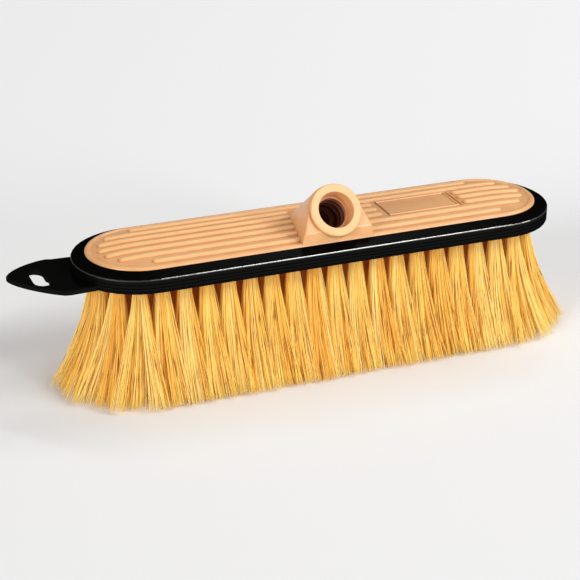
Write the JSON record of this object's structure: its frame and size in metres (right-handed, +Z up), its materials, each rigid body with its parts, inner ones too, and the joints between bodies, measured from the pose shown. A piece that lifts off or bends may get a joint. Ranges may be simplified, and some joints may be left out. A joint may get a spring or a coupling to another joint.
{
  "type": "water-fed wash brush head",
  "caption": "Oval water-fed wash brush head: tan ribbed block with a tilted threaded handle socket, black soft bumper with a hanging tab, and splayed golden bristles.",
  "frame": {"origin": "on the ground under the middle of the brush's overall length and width, at the level of the bristle tips", "axes": "+Z up out of the block's top, +X along the brush away from the hanging tab, and the handle socket opens towards -Y and upwards"},
  "size_m": [0.301, 0.092, 0.0947],
  "materials": {
    "block_plastic": "moulded foamed plastic, soft satin",
    "bumper_vinyl": "soft vinyl, glossy on top and matte on its grooved wall",
    "washer_rubber": "matte",
    "bristle_gold": "fine plastic filament with flagged tips"
  },
  "bodies": {
    "root": {"block": "block_plastic", "seal_washer": "washer_rubber", "bumper": "bumper_vinyl", "tuft_row_01": "bristle_gold", "tuft_row_02": "bristle_gold", "tuft_row_03": "bristle_gold", "tuft_row_04": "bristle_gold", "tuft_row_05": "bristle_gold", "tuft_row_06": "bristle_gold", "tuft_row_07": "bristle_gold", "tuft_row_08": "bristle_gold", "tuft_row_09": "bristle_gold", "tuft_row_10": "bristle_gold", "tuft_row_11_front": "bristle_gold", "tuft_row_11_back": "bristle_gold", "tuft_row_12": "bristle_gold", "tuft_row_13": "bristle_gold", "tuft_row_14": "bristle_gold", "tuft_row_15": "bristle_gold", "tuft_row_16": "bristle_gold", "tuft_row_17": "bristle_gold", "tuft_row_18": "bristle_gold", "tuft_row_19": "bristle_gold", "tuft_row_20": "bristle_gold", "tuft_row_21": "bristle_gold"}
  },
  "joints": []
}
